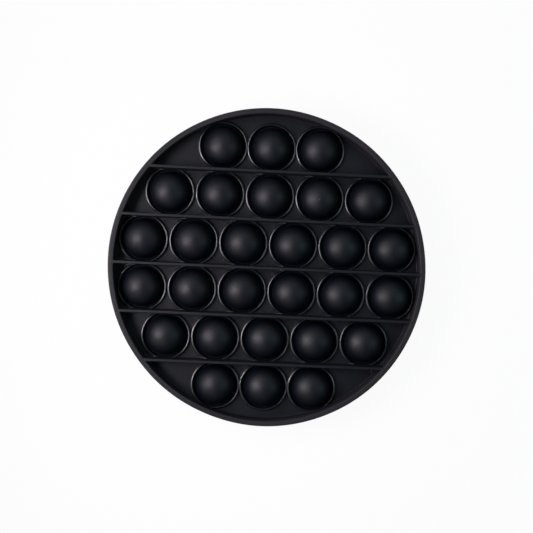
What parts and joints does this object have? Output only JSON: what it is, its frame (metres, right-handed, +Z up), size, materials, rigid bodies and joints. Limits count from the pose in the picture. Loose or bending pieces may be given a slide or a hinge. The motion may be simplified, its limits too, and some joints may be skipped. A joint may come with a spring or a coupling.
{
  "type": "bubble pop fidget toy",
  "caption": "Round soft mat of hollow pop-through domes in rows between straight ribs and a round rim, pressed with the fingertips.",
  "frame": {"origin": "centre of the face the mat rests on, under the middle of the rim", "axes": "+Z up through the domes, +X along the ribs to the right, +Y across the ribs away from the viewer"},
  "size_m": [0.125, 0.125, 0.0148],
  "materials": {
    "silicone": "matte"
  },
  "bodies": {
    "root": {"bubble_mat": "silicone"}
  },
  "joints": []
}
